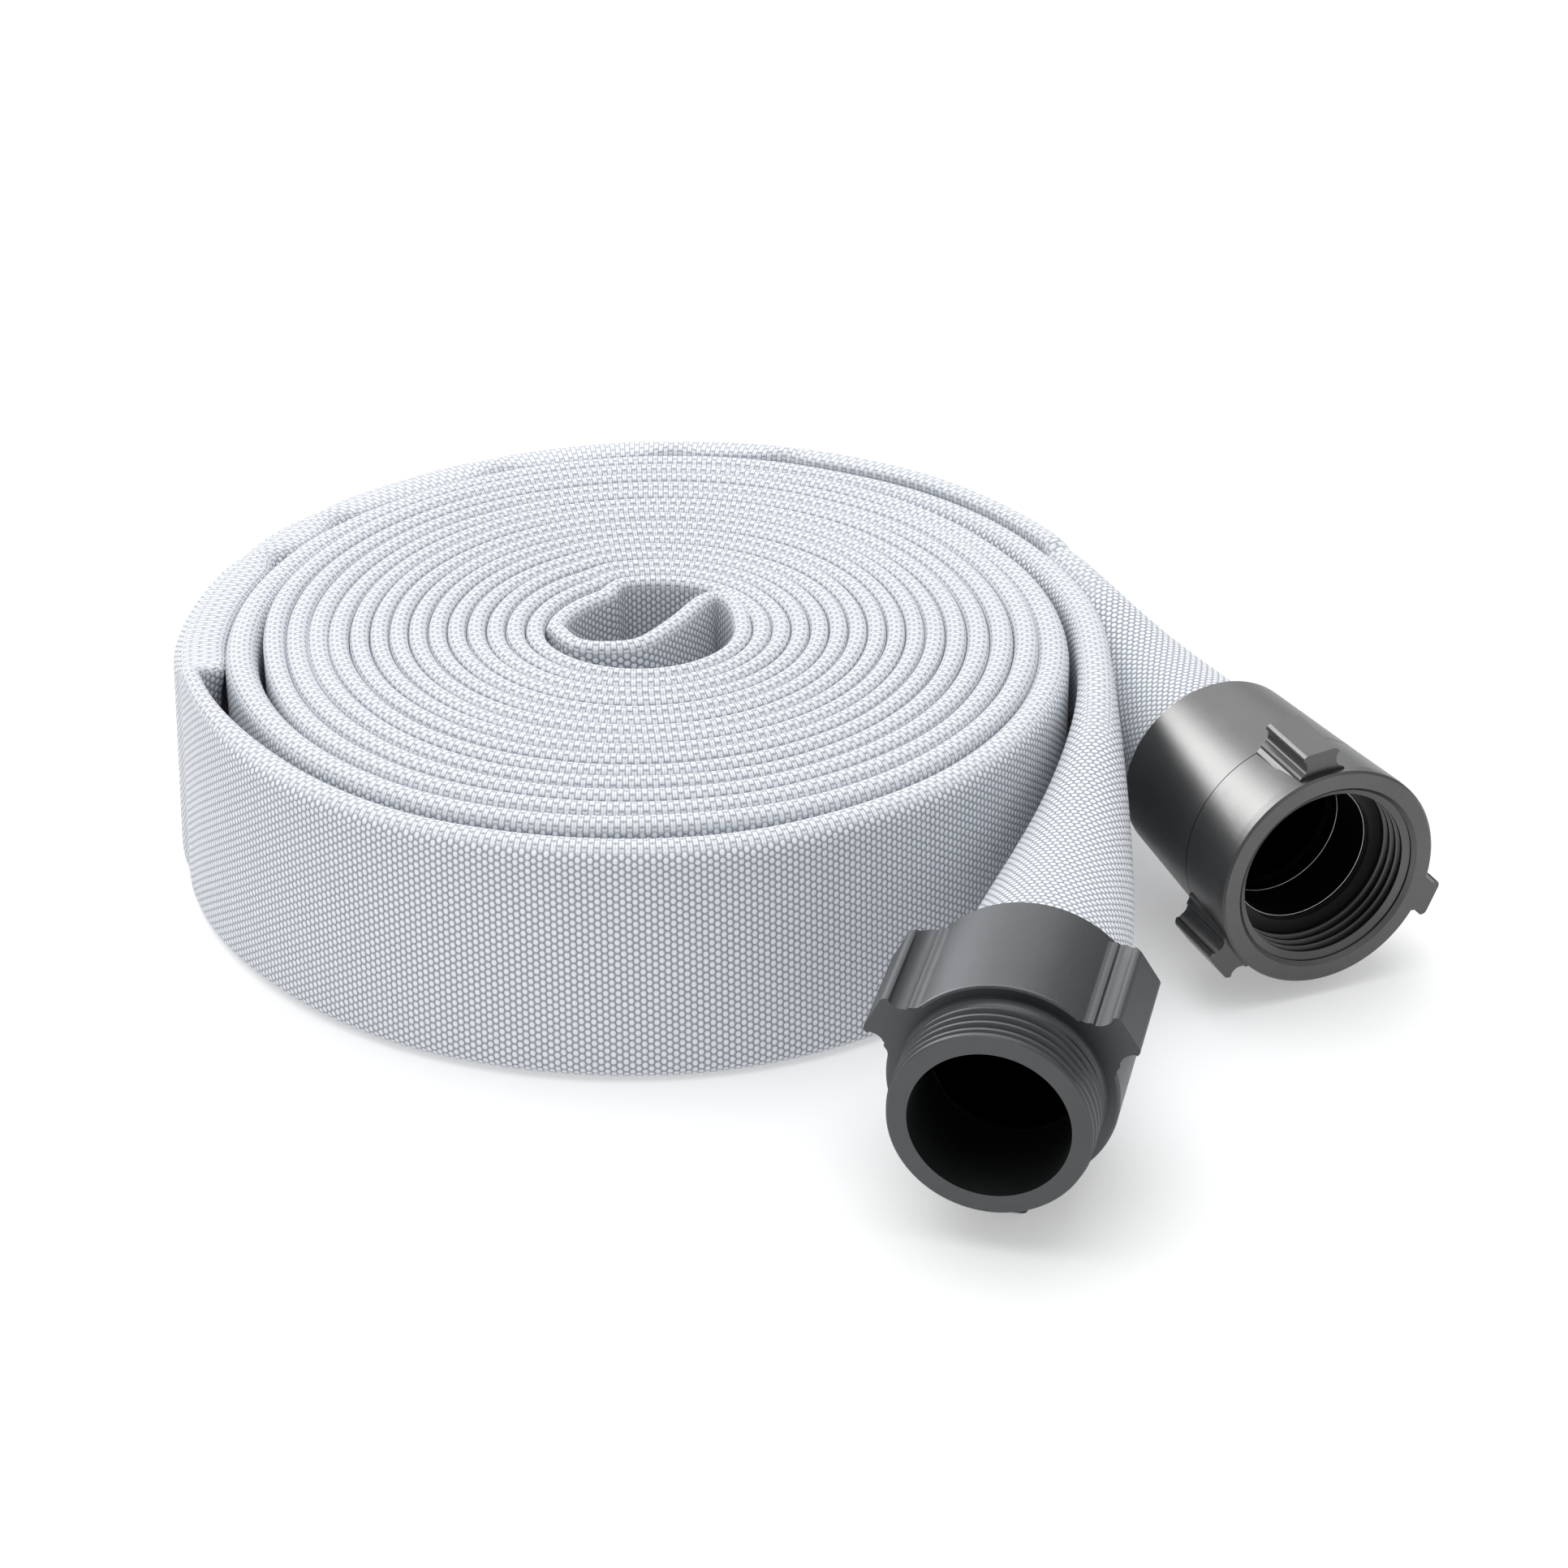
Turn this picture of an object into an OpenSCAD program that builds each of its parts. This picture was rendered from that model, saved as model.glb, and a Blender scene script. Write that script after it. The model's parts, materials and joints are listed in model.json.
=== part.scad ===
// Rolled fire hose: a lay-flat woven hose in a double roll, standing on its edge folds,
// with a threaded male coupling on one end and a swivel female coupling on the other.
// Millimetres, +Z up, Z = 0 is the floor that the roll lies on.

/* [Hose] */
// Inside diameter of the water passage
waterway_d = 50.8; // [44:0.2:52]
// Outside diameter of the hose when it is filled round
hose_od = 57; // [56:0.1:57.2]
// Thickness of the empty hose, both walls together
flat_t = 6.8; // [6:0.1:7.5]

/* [Roll] */
// Centreline radius of the innermost half turn
roll_r0 = 34; // [32:0.5:36]
// Growth of the radius per half turn
turn_pitch = 6.8; // [6.6:0.05:7]
// Half turns in the arm that ends at the female coupling
half_turns = 17; // [15:2:17]
// Half turns that are wound tight before the roll loosens
tight_turns = 9; // [8:1:11]
// Extra radius per loose half turn squared
loosening = 0.21; // [0.18:0.01:0.24]
// Extra radius per half turn in the slack last turn
slack = 5; // [4:0.2:5.4]

/* [Couplings] */
// Height of both coupling axes above the floor
axis_z = 46.5; // [46.5:0.5:50]
// Radius of the male coupling's lug tips
lug_r = 46; // [44:0.5:46]
// Radius of the swivel ring's lug tips
swivel_lug_r = 48; // [46:0.5:48]
// Width of a male coupling's lug across its crown
lug_w = 14.6; // [13:0.2:15]
// Width of a swivel ring's lug across its crown
swivel_lug_w = 13.4; // [12:0.2:14]
// Distance between thread crests
thread_pitch = 4; // [3.6:0.1:4]
// Depth of the thread
thread_depth = 2.4; // [2:0.1:2.4]

/* [Male coupling] */
// Outside radius of the body
male_r = 36.5; // [36:0.5:38]
// Length of the body behind the thread
male_body_l = 52; // [50:0.5:53]
// Outside radius of the thread
male_thread_r = 32.3; // [32:0.1:32.4]
// Number of thread crests
male_crests = 4; // [3:1:5]

/* [Female coupling] */
// Outside radius of the bowl at the hose end
bowl_r = 35; // [34:0.5:36]
// Outside radius of the bowl and the swivel ring where they meet
seam_r = 38.2; // [37.8:0.1:38.6]
// Outside radius of the swivel ring at its mouth
swivel_r = 40; // [39.5:0.5:41]
// Length of the bowl from the hose end to the swivel seam
bowl_l = 53; // [52:0.5:54]
// Length of the swivel ring
swivel_l = 30; // [29:0.5:31]
// Outside radius of the bowl's nose that the swivel ring turns on
nose_r = 32.5; // [32.3:0.1:32.8]
// Radial running clearance of the swivel ring on the nose
swivel_gap = 0.06; // [0.04:0.01:0.08]
// Diameter of the bearing balls
ball_d = 4.76; // [4:0.01:4.8]
// Number of bearing balls
balls = 32; // [24:1:36]
// Inside radius of the female thread at its crests
female_thread_r = 30.1; // [30:0.1:30.4]

/* [Placing] */
// Centre of the roll from the part's origin, to the left
roll_x = -55.7; // [-60:0.1:-50]
// Centre of the roll from the part's origin, to the back
roll_y = 45.5; // [40:0.1:55]
// Hose end of the male coupling, from the roll's centre
male_at = [127.6, -181.4];
// Heading of the male coupling's axis, from +X towards +Y
male_heading = -103.8; // [-108:0.1:-100]
// Hose end of the female coupling, from the roll's centre
female_at = [200, -29];
// Heading of the female coupling's axis, from +X towards +Y
female_heading = -67.6; // [-70:0.1:-66]
// Angle on the roll where the female end leaves it
peel_angle = 40; // [38:1:44]

/* [Hidden] */
$fn = 96;

half_t = flat_t / 2;
hose_h = flat_t + (PI * hose_od - PI * flat_t) / 2;   // width of the hose laid flat
water_r = waterway_d / 2;
layer_gap = 0.4;                                      // between separate parts of the hose
ring_wall = 1.3;                                      // expansion ring
recess_r = 29.2;                                      // socket that takes the hose end
liner_r = water_r + ring_wall + 0.05;                 // inside of the liner when clamped
jacket_r = 28;                                        // between liner and jacket
recess_l = 39;                                        // depth of that socket
gasket_t = 2.5;                                       // gasket behind the expansion ring
male_thread_l = 21.2;                                 // from the flange to the end face
neck_fillet = 2.6;                                    // from the flange into the thread's root
race_z = bowl_l + 5;                                  // ball race along the female axis
nose_l = 9.5;
white_weave = [0.86, 0.88, 0.90];
grey_metal = [0.47, 0.48, 0.50];
black_rubber = [0.12, 0.12, 0.12];
brass_metal = [0.72, 0.57, 0.30];

// Centreline radius of the double spiral after t half turns.
function spiral_r(t) = roll_r0 + turn_pitch * t
    + loosening * pow(max(0, t - tight_turns), 2) + slack * max(0, t - half_turns + 2);
function polar(r, a) = [r * cos(a), r * sin(a)];

// Cross-section of the hose: straight sides, half-round edges, constant girth.
// w is half its thickness, and the result is the height of its centre line.
function section_h(w) = (PI * hose_od - 2 * PI * w) / 4;
function section(w, n) = [for (i = [0:n - 1]) let (a = 180 * i / (n - 1))
        [w * cos(a), section_h(w) + w * sin(a)],
    for (i = [0:n - 1]) let (a = 180 + 180 * i / (n - 1))
        [w * cos(a), -section_h(w) + w * sin(a)]];

function mix(a, b, s) = a + (b - a) * s;
function ease(s) = s * s * (3 - 2 * s);
function bezier(p, s) = pow(1 - s, 3) * p[0] + 3 * s * pow(1 - s, 2) * p[1]
    + 3 * s * s * (1 - s) * p[2] + pow(s, 3) * p[3];
function bezier_dir(p, s) = pow(1 - s, 2) * (p[1] - p[0])
    + 2 * s * (1 - s) * (p[2] - p[1]) + s * s * (p[3] - p[2]);

// One ring of the swept hose at s along the path, w half thick and z high in the middle.
function ring(p, s, w, z) = let (c = bezier(p, s), d = bezier_dir(p, s) / norm(bezier_dir(p, s)))
    [for (q = section(w, 8)) [c.x - d.y * q.x, c.y + d.x * q.x, z + q.y]];

// A length of hose that opens from flat to round along a curved path.
module opening_tail(p, flat_until) {
    rings = 20;
    side = 16;
    w_of = function (s) mix(half_t, hose_od / 2, ease(max(0, (s - flat_until) / (1 - flat_until))));
    pts = [for (i = [0:rings]) let (s = i / rings)
        each ring(p, s, w_of(s), mix(hose_h / 2, axis_z, ease(s)))];
    faces = [[for (j = [0:side - 1]) j],
        for (i = [0:rings - 1], j = [0:side - 1]) let (k = (j + 1) % side)
            each [[i * side + j, (i + 1) * side + j, (i + 1) * side + k],
                  [i * side + j, (i + 1) * side + k, i * side + k]],
        [for (j = [side - 1:-1:0]) rings * side + j]];
    polyhedron(pts, faces, convexity = 6);
}

// Where each end leaves the roll, and the curve that it follows to its coupling.
male_dir = polar(1, male_heading);
female_dir = polar(1, female_heading);
male_path = [[spiral_r(half_turns - 1), -layer_gap], [spiral_r(half_turns - 1) + 3, -75],
             male_at - 60 * male_dir, male_at];
peel_r = spiral_r(half_turns - peel_angle / 180);
peel_at = polar(peel_r, peel_angle);
peel_dir = polar(1, peel_angle - 90);
female_path = [peel_at + layer_gap * peel_dir, peel_at + 45 * peel_dir,
               female_at - 62 * female_dir, female_at];

module on_roll() translate([roll_x, roll_y, 0]) children();
// Stands a coupling, drawn along +Z from the hose end, at its place and heading.
module at_coupling(at, heading) on_roll() translate([at.x, at.y, axis_z])
    rotate([0, 90, heading]) children();
module at_male() at_coupling(male_at, male_heading) children();
module at_female() at_coupling(female_at, female_heading) children();

// A ring from z to z + l between two radii.
module tube(r_in, r_out, z, l) translate([0, 0, z]) rotate_extrude()
    polygon([[r_in, 0], [r_out, 0], [r_out, l], [r_in, l]]);

// Thread ridges as rings with flat crests: r is the crest radius, depth is towards the root.
module ridge(r, depth, z) translate([0, 0, z]) rotate_extrude()
    polygon([[r - depth, -1.7], [r, -0.5], [r, 0.5], [r - depth, 1.7]]);

// Half the outline of a lug across the axis, from its crown down one flank to the body: a rounded
// crown, a shallow flute and a low shoulder that runs out on the body.
function lug_flank(root_r, tip_r, w) = let (c = w / 2, hi = tip_r - 2, lo = root_r + 2) [
    for (a = [0:18:90]) [hi + 2 * cos(a), c - 2 + 2 * sin(a)],
    for (a = [20:20:160]) [(hi + lo) / 2 + (hi - lo) / 2 * cos(a), c - 1.2 * sin(a)],
    for (q = [[0, 2], [0.9, 2], [1.5, 1.4], [1.9, 0.6], [2.6, 0.1], [3.4, -0.1]])
        [sqrt(pow(root_r, 2) - pow(c + q[0], 2)) + q[1], c + q[0]],
    [root_r - 4, c + 3.4]];
function flipped(p) = [for (i = [len(p) - 1:-1:0]) [p[i].x, -p[i].y]];

// A rocker lug w wide along the axis from z0 to z1; at its hose end it slopes back from drop
// below its crown.
module lug(root_r, tip_r, w, z0, z1, drop, slope) {
    flank = lug_flank(root_r, tip_r, w);
    difference() {
        translate([0, 0, z0]) linear_extrude(z1 - z0) polygon(concat(flipped(flank), flank));
        translate([tip_r - drop, -w, z0]) rotate([0, -slope, 0]) translate([0, 0, -20])
            cube([20, 2 * w, 20]);
    }
}
// The socket that the hose end is clamped in, with grooves that bite the jacket.
module socket() {
    translate([0, 0, -1]) cylinder(r = recess_r, h = recess_l + 1);
    for (i = [0:5]) translate([0, 0, 6 + 5 * i]) rotate_extrude()
        polygon([[recess_r - 1, -1.2], [recess_r, -1.2], [recess_r + 0.9, 0],
                 [recess_r, 1.2], [recess_r - 1, 1.2]]);
}

module hose_roll() {
    outline = concat(
        [for (a = [0:5:peel_angle]) polar(spiral_r(half_turns - 1 - a / 180) + half_t, a)],
        [for (a = [peel_angle:5:360]) polar(spiral_r(half_turns - a / 180) + half_t, a)]);
    cross_over = [[-32, 2], [-20, -14], [2, 2], [17, 24], [27, 20], [29, 2]];
    color(white_weave) on_roll() {
        difference() {
            linear_extrude(hose_h) polygon(outline);
            translate([0, 0, -1]) cylinder(r = roll_r0 - half_t, h = hose_h + 2);
        }
        linear_extrude(hose_h) for (i = [0:len(cross_over) - 2]) strip(cross_over[i], cross_over[i + 1]);
    }
}
// A straight strip of flat hose between two points, seen from above.
module strip(a, b) {
    d = (b - a) / norm(b - a);
    n = [-d.y, d.x] * half_t;
    polygon([a - d + n, b + d + n, b + d - n, a - d - n]);
}

module male_tail() color(white_weave) on_roll() opening_tail(male_path, 0.25);
module female_tail() color(white_weave) on_roll() opening_tail(female_path, 0.36);

module clamped_jacket() tube(jacket_r + 0.05, recess_r - 0.05, 0.2, recess_l - gasket_t - 0.4);
module clamped_liner() tube(liner_r, jacket_r, 0.2, recess_l - gasket_t - 0.4);
module tail_gasket() tube(water_r + 0.2, recess_r - 0.1, recess_l - gasket_t - 0.1, gasket_t);
module expansion_ring() tube(water_r, water_r + ring_wall, 0.6, recess_l - gasket_t - 1);

module male_jacket_end() color(white_weave) at_male() clamped_jacket();
module male_liner_end() color(black_rubber) at_male() clamped_liner();
module male_gasket() color(black_rubber) at_male() tail_gasket();
module male_expansion_ring() color(brass_metal) at_male() expansion_ring();
module male_body() {
    root = male_thread_r - thread_depth;
    face_z = male_body_l + male_thread_l;
    color(grey_metal) at_male() difference() {
        union() {
            rotate_extrude() polygon([[0, 0.2], [male_r - 1.5, 0.2], [male_r, 1.7],
                [male_r, male_body_l - 1], [male_r - 0.3, male_body_l - 0.3],
                [male_r - 1, male_body_l],
                for (a = [0:15:90]) [root + neck_fillet * (1 - sin(a)),
                                     male_body_l + neck_fillet * (1 - cos(a))],
                [root, face_z - 3], [male_thread_r - 0.5, face_z - 2],
                [male_thread_r - 0.5, face_z - 0.5], [male_thread_r - 1, face_z], [0, face_z]]);
            for (i = [0:male_crests - 1])
                ridge(male_thread_r, thread_depth, face_z - 3.4 - i * thread_pitch);
            for (a = [3, 123, 243]) rotate([0, 0, a])
                lug(male_r, lug_r, lug_w, 4, male_body_l, 6.3, 52);
        }
        socket();
        translate([0, 0, -1]) cylinder(r = water_r, h = face_z + 2);
    }
}

module female_jacket_end() color(white_weave) at_female() clamped_jacket();
module female_liner_end() color(black_rubber) at_female() clamped_liner();
module female_gasket() color(black_rubber) at_female() tail_gasket();
module female_expansion_ring() color(brass_metal) at_female() expansion_ring();
module race_groove() translate([0, 0, race_z]) rotate_extrude()
    translate([nose_r, 0]) circle(r = ball_d / 2 + 0.05, $fn = 32);
module female_bowl() color(grey_metal) at_female() difference() {
    rotate_extrude() polygon([[0, 0.2], [bowl_r - 1.5, 0.2], [bowl_r, 1.7], [seam_r, bowl_l],
        [nose_r, bowl_l], [nose_r, bowl_l + nose_l], [0, bowl_l + nose_l]]);
    socket();
    translate([0, 0, -1]) cylinder(r = water_r, h = 100);
    race_groove();
}
module race_balls() color("silver") at_female() for (i = [0:balls - 1])
    rotate([0, 0, i * 360 / balls]) translate([nose_r, 0, race_z])
        sphere(d = ball_d, $fn = 24);

swivel_z = bowl_l + 0.35;
swivel_end = bowl_l + swivel_l;
gasket_seat = bowl_l + nose_l + 0.35;
module swivel_ring() {
    root = female_thread_r + thread_depth;
    color(grey_metal) at_female() difference() {
        union() {
            rotate_extrude() polygon([
                [nose_r + swivel_gap, swivel_z], [seam_r, swivel_z], [swivel_r, swivel_end - 4],
                [swivel_r, swivel_end - 0.8], [swivel_r - 0.8, swivel_end],
                [root + 1.4, swivel_end], [root, swivel_end - 1.4],
                [root, gasket_seat + 3.5], [nose_r + swivel_gap, gasket_seat + 3.5]]);
            for (i = [0:3])
                thread_crest(root, swivel_end - 4 - i * thread_pitch);
            for (a = [66, 186, 306]) rotate([0, 0, a])
                lug(seam_r + 1, swivel_lug_r, swivel_lug_w, swivel_z + 0.2, swivel_end - 3, 4, 20);
        }
        race_groove();
        plug_hole();
    }
}
// An inward ridge of the female thread.
module thread_crest(root, z) translate([0, 0, z]) rotate_extrude()
    polygon([[root + 0.2, -1.7], [root, -1.7], [female_thread_r, -0.5],
             [female_thread_r, 0.5], [root, 1.7], [root + 0.2, 1.7]]);
module plug_hole() translate([0, 0, race_z]) rotate([0, 90, 25])
    translate([0, 0, nose_r + ball_d / 2 + 0.5]) cylinder(d = 6, h = 20);
module race_plug() color("silver") at_female() translate([0, 0, race_z]) rotate([0, 90, 25])
    translate([0, 0, nose_r + ball_d / 2 + 0.7]) difference() {
        cylinder(d = 5.96, h = 2.3);
        translate([-4, -0.5, 1.3]) cube([8, 1, 3]);
    }
module swivel_gasket() color(black_rubber) at_female()
    tube(water_r + 0.3, nose_r + swivel_gap - 0.1, gasket_seat, 2.3);

hose_roll();
male_tail();
male_jacket_end();
male_liner_end();
male_gasket();
male_expansion_ring();
male_body();
female_tail();
female_jacket_end();
female_liner_end();
female_gasket();
female_expansion_ring();
female_bowl();
race_balls();
swivel_ring();
race_plug();
swivel_gasket();
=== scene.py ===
"""Rolled fire hose: the woven jacket, its couplings' finish, camera, light and floor."""
import json
import math

import bpy
import numpy as np
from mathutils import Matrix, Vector


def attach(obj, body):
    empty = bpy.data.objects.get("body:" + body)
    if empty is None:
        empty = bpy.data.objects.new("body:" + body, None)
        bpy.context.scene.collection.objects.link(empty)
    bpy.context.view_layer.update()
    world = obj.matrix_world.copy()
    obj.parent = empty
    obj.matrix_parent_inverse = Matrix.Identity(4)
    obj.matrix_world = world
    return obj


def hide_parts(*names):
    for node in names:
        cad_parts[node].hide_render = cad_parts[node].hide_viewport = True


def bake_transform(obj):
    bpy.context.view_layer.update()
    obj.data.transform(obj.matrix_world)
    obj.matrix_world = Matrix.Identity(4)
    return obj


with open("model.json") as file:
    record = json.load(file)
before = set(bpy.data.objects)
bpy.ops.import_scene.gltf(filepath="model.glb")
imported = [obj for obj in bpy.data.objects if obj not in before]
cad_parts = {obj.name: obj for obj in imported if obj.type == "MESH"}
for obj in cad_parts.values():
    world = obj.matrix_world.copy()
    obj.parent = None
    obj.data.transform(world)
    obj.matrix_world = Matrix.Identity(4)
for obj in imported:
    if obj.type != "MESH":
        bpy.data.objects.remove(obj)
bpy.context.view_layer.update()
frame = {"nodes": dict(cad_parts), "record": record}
record = frame["record"]
mounts = {m["name"]: m for m in record["mounts"]}

# ---------------------------------------------------------------- sizes, in metres
HOSE_OD = 0.057          # outside diameter where the hose is round
GIRTH = math.pi * HOSE_OD
ROLL_GIRTH = 0.187       # girth where it lies flat: wider, to match the height of its side in the photo
WALL = 0.0028            # jacket and liner together
ROLL_R0 = 0.034          # centreline radius where the arms start
TURN_PITCH = 0.0068      # growth per half turn
HALF_TURNS = 17          # half turns in the arm that ends at the female coupling
RING_STEP = 0.003        # distance between rings of the swept mesh
SIDE = 52                # points round the hose
LEAN = 0.0050            # how far the puffed outer turn leans in at its top
COLUMN = 0.00195         # weave: distance between columns of beads along the hose
BEAD = 0.0026            # weave: distance between beads in a column
MALE_THREAD_AT = 0.0642  # from the hose end of each coupling to the middle of its thread
FEMALE_THREAD_AT = 0.073
INSIDE = 0.03            # how far the hose goes into each coupling
INSIDE_POINTS = 20       # points of the route inside each coupling
TAIL_POINTS = 80         # points of the route in each tail that opens from flat to round
LINER_RINGS = 60         # rings of the swept mesh whose liner is made, from each end of the hose

AXIS_Z = mounts["male_thread"]["pos_m"][2]


def vec2(p):
    return np.array([p[0], p[1]], float)


CENTRE = vec2(mounts["underside"]["pos_m"]) + (0.09, 0)     # the middle of the roll
MALE_AXIS = vec2(mounts["male_thread"]["axis"])
FEMALE_AXIS = vec2(mounts["female_thread"]["axis"])
MALE_END = vec2(mounts["male_thread"]["pos_m"]) - MALE_THREAD_AT * MALE_AXIS    # hose end of each
FEMALE_END = vec2(mounts["female_thread"]["pos_m"]) - FEMALE_THREAD_AT * FEMALE_AXIS    # coupling


# ---------------------------------------------------------------- camera
def add_camera():
    """The view of the photograph: a long lens, 29 degrees above the floor."""
    elevation, distance = math.radians(29), 1.3095
    target = Vector((CENTRE[0] + 0.0486, CENTRE[1] - 0.0177, 0.0339))
    back = Vector((0, -math.cos(elevation), math.sin(elevation)))
    data = bpy.data.cameras.new("camera")
    data.sensor_width, data.lens = 36, 83.85
    cam = bpy.data.objects.new("camera", data)
    cam.location = target + distance * back
    cam.rotation_euler = (math.pi / 2 - elevation, 0, 0)
    bpy.context.scene.collection.objects.link(cam)
    bpy.context.scene.camera = cam


# ---------------------------------------------------------------- the hose's route
def spiral_r(t):
    """Centreline radius after t half turns: tight inside, looser outside."""
    return (ROLL_R0 + TURN_PITCH * t + 0.00021 * np.maximum(0, t - 9) ** 2
            + 0.005 * np.maximum(0, t - 15))


def bump(t, at, width):
    return np.exp(-((t - at) / width) ** 2)


def arm(end_turn, last_angle, radius):
    """Points along one arm of the double spiral, from the centre out to last_angle (degrees from
    +X), and the half-turn count at each."""
    t = np.arange(0, end_turn - last_angle / 180 + 1e-9, 0.01)
    angle = np.radians((end_turn - t) * 180)
    r = radius(t) - dent(t, end_turn)
    return np.c_[r * np.cos(angle), r * np.sin(angle)] + CENTRE, t


def dent(t, end_turn):
    """How far the turns are pushed in at the back left of the hole, less and less outwards:
    a sharp corner at the back, a slow return on the left."""
    angle = ((end_turn - t) * 180) % 360
    shape = smooth_step((angle - 106) / 16) * smooth_step((208 - angle) / 82)
    return 0.0052 * shape * np.exp(-t / 3)


# Half turns, in the arm that ends at the female coupling, where its outer turn is pinched.
PITS = (16.14, 16.22, 16.37, 16.51, 16.60)
FLAT_FROM, FLAT_TO = 15.78, 15.930      # where the outer turn is a thin band with a pocket behind it


def flat_stretch(t):
    """1 where the outer turn is that thin band, 0 elsewhere."""
    return smooth_step((t - FLAT_FROM) / 0.14) * smooth_step((FLAT_TO + 0.02 - t) / 0.02)


def slack_turn(t):
    """1 where the outer turn bellies out on the left."""
    return smooth_step((t - 15.90) / 0.1) * smooth_step((16.65 - t) / 0.4)


def tight_turn(t):
    """1 where the outer turn lies close again at the back right, before the female end leaves."""
    return smooth_step((t - 16.35) / 0.40) * smooth_step((17.3 - t) / 0.4)


def female_arm_r(t):
    """The arm that ends at the female coupling: pushed in below a gap on the left, slack outside."""
    pushed = 0.0024 * bump(t, 13.95, 0.11) + 0.0008 * bump(t, 11.95, 0.11)
    outer = 0.0040 * flat_stretch(t) + 0.0024 * slack_turn(t) - 0.0050 * tight_turn(t)
    return spiral_r(t) - pushed + outer


def male_arm_r(t):
    """The arm that ends at the male coupling: out above that gap on the left, in below it."""
    return spiral_r(t) + 0.0004 * bump(t, 14.97, 0.10) - 0.0016 * bump(t, 12.95, 0.11)


def wobble(s, seed, wavelength):
    """A smooth random wave along the hose, between about -1 and 1."""
    rng = np.random.default_rng(seed)
    return sum(np.sin(2 * math.pi * s / (wavelength * k) + rng.uniform(0, 6.28))
               for k in (0.7, 1, 1.7)) / 3


def bezier(points, n):
    s = np.linspace(0, 1, n)[:, None]
    a, b, c, d = [np.asarray(p, float) for p in points]
    return (1 - s) ** 3 * a + 3 * s * (1 - s) ** 2 * b + 3 * s * s * (1 - s) * c + s ** 3 * d


def spline(points, n=60):
    """A smooth line through points (Catmull-Rom)."""
    p = np.asarray(points, float)
    p = np.vstack([2 * p[0] - p[1], p, 2 * p[-1] - p[-2]])
    out = []
    for i in range(1, len(p) - 2):
        s = np.linspace(0, 1, n, endpoint=False)[:, None]
        a, b, c, d = p[i - 1:i + 3]
        out.append(0.5 * ((2 * b) + (c - a) * s + (2 * a - 5 * b + 4 * c - d) * s ** 2
                          + (3 * b - a - 3 * c + d) * s ** 3))
    return np.vstack(out + [p[-2:-1]])


def even(line, values, step):
    """The line and the values along it again, at even steps."""
    d = np.r_[0, np.cumsum(np.linalg.norm(np.diff(line, axis=0), axis=1))]
    s = np.arange(0, d[-1], step)
    s = np.r_[s, d[-1]] if d[-1] - s[-1] > step * 0.3 else s
    cols = [np.interp(s, d, line[:, i]) for i in range(line.shape[1])]
    return np.stack(cols, 1), [np.interp(s, d, v) for v in values], s


def smooth_step(x):
    x = np.clip(x, 0, 1)
    return x * x * (3 - 2 * x)


def layer_half_t(t):
    """Half the thickness of the hose where its turns lie against each other."""
    gap = spiral_r(t + 0.5) - spiral_r(t - 0.5)
    return np.minimum(gap * 0.5, 0.0062) * 0.985


def female_arm_half_t(t):
    puffed = layer_half_t(t) + 0.14 * dent(t, HALF_TURNS) - 0.0005 * bump(t, 13.95, 0.11)
    puffed = puffed + 0.0020 * slack_turn(t) - 0.0024 * tight_turn(t)
    return puffed + (0.0031 - puffed) * flat_stretch(t)


def puffed(t):
    """1 where the slack outer turn is puffed up and leans on the turn inside it, 0 in its pinches."""
    pits = sum(bump(t, at, 0.014) for at in PITS)
    return smooth_step((t - FLAT_TO) / 0.03) * smooth_step((17 - t) / 0.5) * np.clip(1 - pits, 0, 1)


# ---------------------------------------------------------------- meshes
def section(half_t, girth, n, inset=0.0, square=0.0):
    """Outline of the hose across its run, starting at the top fold: (across, up) for each point.
    Straight sides and half-round folds that make up the girth; inset is how far inside it lies,
    and square flattens the top fold."""
    side = (girth - 2 * math.pi * half_t) / 4
    fold = max(8, int(n * 0.36) // 2 * 2)
    flat = (n - 2 * fold) // 2
    r = max(half_t - inset, 0.0002)
    out = []
    for end in (1, -1):
        for i in range(fold):
            a = math.pi * (i + 0.5) / fold
            rise = math.sin(a) ** (1 - 0.5 * square if end == 1 else 1)
            out.append((end * r * math.cos(a), end * (side + r * rise)))
        for i in range(flat):
            out.append((-end * r, end * (side - 2 * side * (i + 0.5) / flat)))
    return np.array(out)


def sweep(name, hose, first, last, inset=0.0):
    """An open tube of hose along its line, with the weave's coordinates in metres as its UVs:
    along the hose, and round it from the middle of the top fold."""
    line, s = hose["line"][first:last], hose["s"][first:last]
    tangent = np.gradient(hose["line"], axis=0)[first:last]
    tangent /= np.linalg.norm(tangent, axis=1)[:, None]
    normal = np.c_[-tangent[:, 1], tangent[:, 0]]
    rings, around = [], []
    for k, (p, nrm) in enumerate(zip(line, normal), start=first):
        w, z = hose["half_t"][k], hose["z_mid"][k]
        puff = hose["puff"][k]
        q = section(w, hose["girth"][k], SIDE, inset, 0.8 * puff)
        height = q[:, 1].max()
        top = np.clip(q[:, 1] / height, 0, 1) ** 5 * np.clip(0.6 - q[:, 0] / w, 0, 1)
        low = 0.5 - 0.5 * q[:, 1] / height
        across = q[:, 0] - LEAN * puff * top + hose["low_lean"][k] * low
        rings.append(np.c_[p[0] + nrm[0] * across, p[1] + nrm[1] * across, z + q[:, 1]])
        step = np.linalg.norm(np.diff(np.vstack([q, q[:1]]), axis=0), axis=1)
        around.append(np.r_[0, np.cumsum(step)] - math.pi * w / 2)
    return tube_mesh(name, np.array(rings), np.array(around), s, hose["folded"][first:last])


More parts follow.
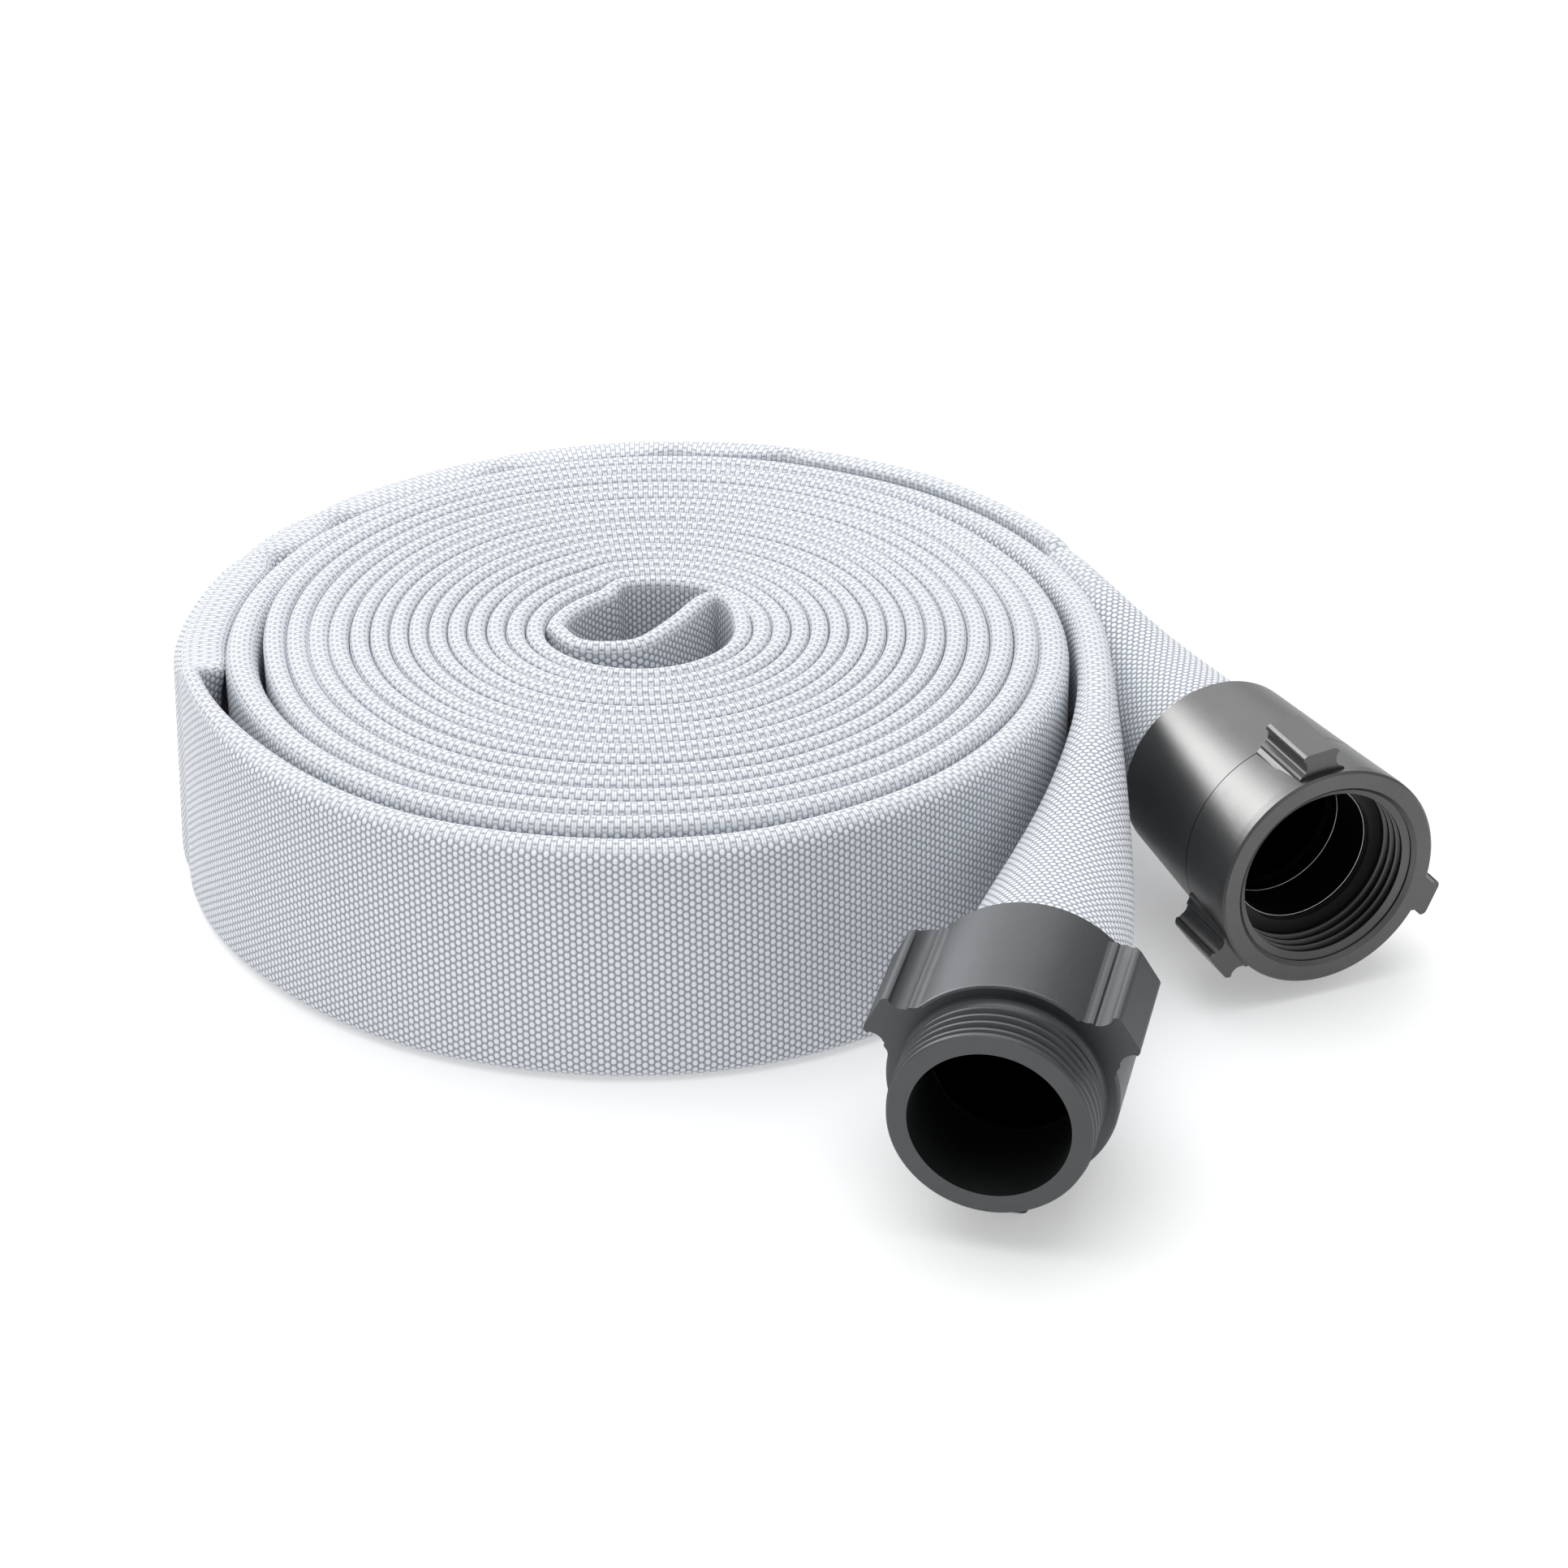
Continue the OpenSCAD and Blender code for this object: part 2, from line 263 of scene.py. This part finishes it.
def tube_mesh(name, rings, around, s, folded):
    """A tube through the rings, with UVs in metres and how far it is folded flat at each point."""
    n, m = rings.shape[:2]
    i, j = np.meshgrid(np.arange(n - 1), np.arange(m), indexing="ij")
    k = (j + 1) % m
    faces = np.stack([i * m + j, i * m + k, (i + 1) * m + k, (i + 1) * m + j], -1).reshape(-1, 4)
    mesh = bpy.data.meshes.new(name)
    mesh.from_pydata(rings.reshape(-1, 3).tolist(), [], faces.tolist())
    v = around * (GIRTH / (around[:, -1] - around[:, 0]))[:, None]
    u0, u1 = np.broadcast_to(s[:-1, None], i.shape), np.broadcast_to(s[1:, None], i.shape)
    v00, v01 = v[i, j], v[i, j + 1]
    v10, v11 = v[i + 1, j], v[i + 1, j + 1]
    uv = np.stack([u0, v00, u0, v01, u1, v11, u1, v10], -1).reshape(-1)
    mesh.uv_layers.new(name="weave").data.foreach_set("uv", uv.astype(np.float32))
    flatness = mesh.attributes.new("folded", "FLOAT", "POINT")
    flatness.data.foreach_set("value", np.repeat(folded, m).astype(np.float32))
    mesh.polygons.foreach_set("use_smooth", np.ones(len(mesh.polygons), bool))
    obj = bpy.data.objects.new(name, mesh)
    bpy.context.scene.collection.objects.link(obj)
    return obj


def open_out(start_half_t, n):
    """Half thickness along a tail that opens from flat to round."""
    opened = smooth_step((np.linspace(0, 1, n) - 0.05) / 0.95)
    return start_half_t + (HOSE_OD / 2 - start_half_t) * opened


# The strand that crosses the roll's open centre, as points from the middle, seen from above.
CROSSING = np.array([(-0.0285, -0.0085), (-0.0230, -0.0145), (-0.0134, -0.0160), (-0.0020, -0.0125),
                     (0.0090, 0.0030), (0.0155, 0.0155), (0.0200, 0.0225), (0.0250, 0.0245),
                     (0.0300, 0.0200), (0.0328, 0.0105)])


def hose_line():
    """The whole hose, from the male coupling through the centre to the female coupling: its route,
    half thickness, girth, middle height, leans, and the ring where the female end leaves the roll."""
    arm_a, ta = arm(HALF_TURNS, 24, female_arm_r)
    arm_b, tb = arm(HALF_TURNS - 1, 0, male_arm_r)
    cross = spline([arm_a[0], *(CENTRE + CROSSING), arm_b[0]], 12)[1:-1]
    male = bezier([arm_b[-1], arm_b[-1] + (0.002, -0.075),
                   MALE_END - 0.060 * MALE_AXIS, MALE_END], TAIL_POINTS)[1:]
    inside = np.linspace(0.001, INSIDE, INSIDE_POINTS)[:, None]
    inside_m = MALE_END + MALE_AXIS * inside
    out = arm_a[-1] - arm_a[-2]
    out /= np.linalg.norm(out)
    female = bezier([arm_a[-1], arm_a[-1] + 0.035 * out,
                     FEMALE_END - 0.045 * FEMALE_AXIS, FEMALE_END], TAIL_POINTS)[1:]
    inside_f = FEMALE_END + FEMALE_AXIS * inside
    line = np.vstack([inside_m[::-1], male[::-1], arm_b[::-1], cross[::-1], arm_a, female, inside_f])
    whole = np.full(INSIDE_POINTS, HOSE_OD / 2)
    half_t = np.r_[whole, open_out(layer_half_t(tb[-1]), len(male))[::-1], layer_half_t(tb)[::-1],
                   np.full(len(cross), layer_half_t(0.0)), female_arm_half_t(ta),
                   open_out(layer_half_t(ta[-1]), len(female)), whole]
    roll_n = len(tb) + len(cross) + len(ta)
    rise = np.r_[np.ones(INSIDE_POINTS), smooth_step(np.linspace(0, 1, len(male)))[::-1], np.zeros(roll_n),
                 smooth_step(np.linspace(0, 1, len(female))), np.ones(INSIDE_POINTS)]
    before = INSIDE_POINTS + len(male)
    after = len(female) + INSIDE_POINTS
    puff = np.r_[np.zeros(before + len(tb) + len(cross)), puffed(ta), np.zeros(after)]
    tilt = np.sin(np.linspace(0, math.pi, len(cross))) ** 2
    flare = 0.003 * smooth_step((ta - 14.9) / 0.3) * smooth_step((16.5 - ta) / 0.3)
    low_lean = np.r_[np.zeros(before + len(tb)), 0.012 * tilt, flare, np.zeros(after)]
    part = np.r_[np.zeros(before + roll_n), np.ones(after)]
    line, (half_t, rise, puff, low_lean, part), s = even(
        line, [half_t, rise, puff, low_lean, part], RING_STEP)
    half_t = half_t * (1 + 0.025 * wobble(s, 3, 0.09) * (1 - rise))
    girth = GIRTH + (ROLL_GIRTH - GIRTH) * (1 - rise)
    half_h = half_t + (girth - 2 * math.pi * half_t) / 4
    z_mid = half_h * (1 - rise) + AXIS_Z * rise + 0.0003 * (1 + wobble(s, 5, 0.14)) * (1 - rise)
    folded = np.clip((0.012 - half_t) / 0.005, 0, 1)
    return {"line": line, "half_t": half_t, "girth": girth, "z_mid": z_mid, "puff": puff,
            "low_lean": low_lean, "s": s, "folded": folded, "split": int(np.argmax(part > 0.5))}


def lip(name, radius, along):
    """A thin rounded lip in the bore of the female coupling."""
    place = FEMALE_END + along * FEMALE_AXIS
    turn = Vector((*FEMALE_AXIS, 0)).to_track_quat("Z", "Y").to_euler()
    bpy.ops.mesh.primitive_torus_add(major_radius=radius, minor_radius=0.0002, major_segments=128,
                                     minor_segments=8, location=(*place, AXIS_Z), rotation=turn)
    ring = bpy.context.object
    ring.name = name
    bpy.ops.object.shade_smooth()
    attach(ring, "female_end")
    ring.data.materials.append(speckled_metal("bright_lip", (0.75, 0.75, 0.75), 0.18))


def make_hose():
    hose = hose_line()
    line, s, split = hose["line"], hose["s"], hose["split"]
    end = len(line)
    coil = sweep("hose_coil", hose, 0, split + 1)
    tail = sweep("hose_female_tail", hose, split, end)
    male_liner = sweep("hose_male_liner", hose, 1, LINER_RINGS, WALL)
    female_liner = sweep("hose_female_liner", hose, end - LINER_RINGS, end - 1, WALL)
    print("hose length", s[-1])
    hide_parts("hose_roll", "male_tail")
    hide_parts("female_tail")
    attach(coil, "coil")
    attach(male_liner, "coil")
    for piece in (tail, female_liner):
        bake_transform(piece)
    for piece in (coil, tail):
        piece.data.materials.append(weave_material())
    for piece in (male_liner, female_liner):
        piece.data.materials.append(rubber_material())


# ---------------------------------------------------------------- materials
class Nodes:
    """Short calls for building a material's node tree."""

    def __init__(self, name):
        self.material = bpy.data.materials.get(name)
        self.fresh = self.material is None
        if self.fresh:
            self.material = bpy.data.materials.new(name)
            self.material.use_nodes = True
            self.tree = self.material.node_tree
            self.shader = self.tree.nodes["Principled BSDF"]

    def node(self, kind, **inputs):
        n = self.tree.nodes.new(kind)
        for key, value in inputs.items():
            self.put(n.inputs[key.replace("_", " ")], value)
        return n

    def put(self, socket, value):
        if isinstance(value, bpy.types.NodeSocket):
            self.tree.links.new(value, socket)
        else:
            socket.default_value = value

    def math(self, operation, *values, clamp=False):
        n = self.tree.nodes.new("ShaderNodeMath")
        n.operation, n.use_clamp = operation, clamp
        for socket, value in zip(n.inputs, values):
            self.put(socket, value)
        return n.outputs[0]

    def mix(self, factor, a, b):
        n = self.tree.nodes.new("ShaderNodeMix")
        n.data_type = "RGBA"
        for socket, value in zip((n.inputs["Factor"], n.inputs[6], n.inputs[7]), (factor, a, b)):
            self.put(socket, value)
        return n.outputs[2]

    def set(self, **inputs):
        for key, value in inputs.items():
            self.put(self.shader.inputs[key.replace("_", " ")], value)

    def bump(self, height, strength, distance):
        n = self.node("ShaderNodeBump", Height=height, Strength=strength, Distance=distance)
        self.put(self.shader.inputs["Normal"], n.outputs[0])


def weave_material():
    """Plain weave of white yarn: staggered columns of round beads with crossing yarns low between them,
    and long floats of two yarns over the folds."""
    m = Nodes("woven_jacket")
    if not m.fresh:
        return m.material
    uv = m.tree.nodes.new("ShaderNodeUVMap")
    uv.uv_map = "weave"
    place = m.node("ShaderNodeSeparateXYZ", Vector=uv.outputs[0])
    u, v = place.outputs[0], place.outputs[1]
    column = m.math("DIVIDE", u, COLUMN)
    stagger = m.math("FRACT", m.math("MULTIPLY", m.math("FLOOR", column), 0.5))
    x = m.math("ABSOLUTE", m.math("SUBTRACT", m.math("FRACT", column), 0.5))
    bead = m.math("ADD", m.math("DIVIDE", v, BEAD), stagger)
    y = m.math("ABSOLUTE", m.math("SUBTRACT", m.math("FRACT", bead), 0.5))

    # beads, and the yarn that crosses low between two beads of a column
    far = m.math("ADD", m.math("POWER", m.math("MULTIPLY", x, 1.96), 2.4),
                 m.math("POWER", m.math("MULTIPLY", y, 2.3), 2.4))
    ball = m.math("POWER", m.math("MAXIMUM", m.math("SUBTRACT", 1.0, far), 0.0), 0.36)
    off = m.math("SUBTRACT", 0.5, y)
    yarn = m.math("SUBTRACT", 0.62, m.math("MULTIPLY", m.math("MULTIPLY", off, off), 160.0))
    face = m.math("MAXIMUM", ball, yarn)

    # floats over the fold: flat topped, round across, with a groove between the two yarns
    long_y = m.math("FRACT", m.math("ADD", m.math("DIVIDE", v, BEAD * 1.5), stagger))
    long_y = m.math("ABSOLUTE", m.math("SUBTRACT", long_y, 0.5))
    end = m.math("SUBTRACT", 1.0, m.math("POWER", m.math("MULTIPLY", long_y, 2.1), 6.0), clamp=True)
    side = m.math("POWER", m.math("MULTIPLY", x, 2.0), 3.0)
    side = m.math("SQRT", m.math("SUBTRACT", 1.0, side, clamp=True))
    groove = m.math("SUBTRACT", 0.28, m.math("MULTIPLY", x, 3.2), clamp=True)
    over = m.math("SUBTRACT", m.math("MULTIPLY", end, side), groove)

    # how near the fold lines this is: 1 on a fold, 0 on the flat sides
    wave = m.math("COSINE", m.math("MULTIPLY", v, 4 * math.pi / GIRTH))
    fold = m.math("MULTIPLY", m.math("SUBTRACT", wave, 0.90), 14.0, clamp=True)
    flat = m.tree.nodes.new("ShaderNodeAttribute")
    flat.attribute_name = "folded"
    fold = m.math("MULTIPLY", fold, flat.outputs["Fac"])
    height = m.math("ADD", m.math("MULTIPLY", face, m.math("SUBTRACT", 1.0, fold)),
                    m.math("MULTIPLY", over, fold))

    # each bead differs a little, and the cloth is faintly uneven over its length
    cell = m.node("ShaderNodeCombineXYZ", X=m.math("FLOOR", column), Y=m.math("FLOOR", bead))
    grain = m.node("ShaderNodeTexWhiteNoise", Vector=cell.outputs[0]).outputs[0]
    cloud = m.node("ShaderNodeTexNoise", Vector=uv.outputs[0], Scale=9.0, Detail=3.0).outputs[0]
    tone = m.math("ADD", m.math("MULTIPLY", grain, 0.14), m.math("MULTIPLY", cloud, 0.22))
    yarn_color = m.mix(tone, (0.85, 0.868, 0.895, 1), (0.70, 0.738, 0.795, 1))
    # painted shade: where the weave is low, between the beads and yarns, its colour runs down to a dark
    # blue-grey, painted shade in the recesses of the weave; on the folds this painted shade is at most
    # half as deep
    shade = m.math("POWER", m.math("MAXIMUM", height, 0.0), 0.8)
    shade = m.math("MAXIMUM", shade, m.math("MULTIPLY", fold, 0.5))
    m.set(Base_Color=m.mix(shade, (0.23, 0.265, 0.33, 1), yarn_color), Roughness=0.58)
    m.shader.inputs["Specular IOR Level"].default_value = 0.4
    m.shader.inputs["Sheen Weight"].default_value = 0.12
    m.bump(height, 0.8, 0.0008)
    return m.material


def turned_metal(name, hose_end, axis, base, rough):
    """Grey anodised metal: fine turned lines round the axis, faint brushed scratches along it, and
    patches that are a little darker or smoother."""
    m = Nodes(name)
    if not m.fresh:
        return m.material
    place = m.tree.nodes.new("ShaderNodeTexCoord").outputs["Object"]

    def dot(direction):
        n = m.tree.nodes.new("ShaderNodeVectorMath")
        n.operation = "DOT_PRODUCT"
        m.put(n.inputs[0], place)
        n.inputs[1].default_value = direction
        return n.outputs["Value"]

    along = dot((axis[0], axis[1], 0))
    off_axis = float(-axis[1] * hose_end[0] + axis[0] * hose_end[1])
    side = m.math("SUBTRACT", dot((-axis[1], axis[0], 0)), off_axis)
    up = m.math("SUBTRACT", dot((0, 0, 1)), AXIS_Z)
    angle = m.math("ARCTAN2", side, up)
    lines = m.node("ShaderNodeTexNoise", Scale=1.0, Detail=2.0, Vector=m.node(
        "ShaderNodeCombineXYZ", X=m.math("MULTIPLY", along, 2600.0),
        Y=m.math("MULTIPLY", angle, 3.0)).outputs[0])
    scratch = m.node("ShaderNodeTexNoise", Scale=1.0, Detail=3.0, Vector=m.node(
        "ShaderNodeCombineXYZ", X=m.math("MULTIPLY", along, 70.0),
        Y=m.math("MULTIPLY", angle, 120.0)).outputs[0])
    patch = m.node("ShaderNodeTexNoise", Scale=28.0, Detail=4.0, Vector=place).outputs[0]
    scratched = m.math("MULTIPLY", m.math("SUBTRACT", scratch.outputs[0], 0.56), 5.0, clamp=True)
    dark, light = [(*(c * k for c in base), 1) for k in (0.78, 1.25)]
    tone = m.math("ADD", m.math("MULTIPLY", patch, 0.7), m.math("MULTIPLY", scratched, 0.35), clamp=True)
    m.set(Base_Color=m.mix(tone, dark, light), Metallic=1.0, Roughness=m.math(
        "ADD", rough - 0.08, m.math("ADD", m.math("MULTIPLY", patch, 0.12), m.math(
            "MULTIPLY", lines.outputs[0], 0.08))))
    height = m.math("SUBTRACT", lines.outputs[0], m.math("MULTIPLY", scratched, 0.6))
    m.bump(height, 0.35, 0.00006)
    return m.material


def speckled_metal(name, base, rough):
    """Plain metal with cloudy tarnish."""
    m = Nodes(name)
    if m.fresh:
        place = m.tree.nodes.new("ShaderNodeTexCoord").outputs["Object"]
        patch = m.node("ShaderNodeTexNoise", Scale=180.0, Detail=5.0, Vector=place).outputs[0]
        m.set(Base_Color=m.mix(patch, (*(c * 0.6 for c in base), 1), (*base, 1)), Metallic=1.0,
              Roughness=m.math("ADD", rough, m.math("MULTIPLY", patch, 0.15)))
    return m.material


def rubber_material():
    """Black rubber, faintly mottled."""
    m = Nodes("black_rubber")
    if m.fresh:
        place = m.tree.nodes.new("ShaderNodeTexCoord").outputs["Object"]
        mottle = m.node("ShaderNodeTexNoise", Scale=900.0, Detail=3.0, Vector=place).outputs[0]
        m.set(Base_Color=m.mix(mottle, (0.006, 0.006, 0.007, 1), (0.014, 0.014, 0.015, 1)), Roughness=0.5)
        m.bump(mottle, 0.2, 0.0001)
    return m.material


def dress_couplings():
    """Materials for the CAD nodes that stay in view."""
    male = turned_metal("anodised_male", MALE_END, MALE_AXIS, (0.096, 0.100, 0.104), 0.44)
    female = turned_metal("anodised_female", FEMALE_END, FEMALE_AXIS, (0.116, 0.1155, 0.1145), 0.36)
    steel = speckled_metal("steel", (0.6, 0.6, 0.6), 0.2)
    ring = speckled_metal("ring_brass", (0.10, 0.08, 0.05), 0.3)
    finish = {"male_body": male, "female_bowl": female, "swivel_ring": female, "race_balls": steel,
              "race_plug": steel, "male_expansion_ring": ring, "female_expansion_ring": ring}
    for name, node in frame["nodes"].items():
        if node.hide_render:
            continue
        node.data.materials.clear()
        node.data.materials.append(finish.get(name) or rubber_material())


# ---------------------------------------------------------------- floor and light
def area_light(name, place, target, size, power):
    data = bpy.data.lights.new(name, "AREA")
    data.shape, data.size, data.size_y = "RECTANGLE", size[0], size[1]
    data.energy = power
    lamp = bpy.data.objects.new(name, data)
    lamp.location = place
    lamp.rotation_euler = (Vector(target) - Vector(place)).to_track_quat("-Z", "Y").to_euler()
    bpy.context.scene.collection.objects.link(lamp)
    return lamp


def studio():
    """A pale floor, soft light from overhead and behind, and a gleam on the metal from the left."""
    bpy.ops.mesh.primitive_plane_add(size=12, location=(0, 0, 0))
    floor = bpy.context.object
    floor.name = "floor"
    white = Nodes("floor_white")
    white.set(Base_Color=(0.65, 0.65, 0.65, 1), Roughness=0.9, Emission_Color=(1, 1, 1, 1),
              Emission_Strength=0.34)
    floor.data.materials.append(white.material)
    world = bpy.data.worlds.new("studio")
    world.use_nodes = True
    world.node_tree.nodes["Background"].inputs[0].default_value = (0.97, 0.985, 1.0, 1)
    world.node_tree.nodes["Background"].inputs[1].default_value = 0.68
    bpy.context.scene.world = world
    sun = bpy.data.lights.new("overhead", "SUN")
    sun.energy, sun.angle = 2.05, math.radians(70)
    lamp = bpy.data.objects.new("overhead", sun)
    lamp.rotation_euler = Vector((-0.12, 0.18, 0.97)).to_track_quat("Z", "Y").to_euler()
    bpy.context.scene.collection.objects.link(lamp)
    gleam = area_light("softbox", (-1.28, 1.28, 1.0), (0.1, -0.05, 0.05), (1.0, 1.0), 34)
    gleam.visible_diffuse = False                    # it only makes the metal shine
    area_light("back_strip", (0.0, 1.5, 0.85), (0.1, -0.1, 0.05), (1.6, 0.6), 5)
    bpy.context.scene.view_settings.view_transform = "Standard"


add_camera()
make_hose()
lip("bore_lip", 0.0254, 0.0440)
lip("nose_lip", 0.0253, 0.0624)
dress_couplings()
studio()
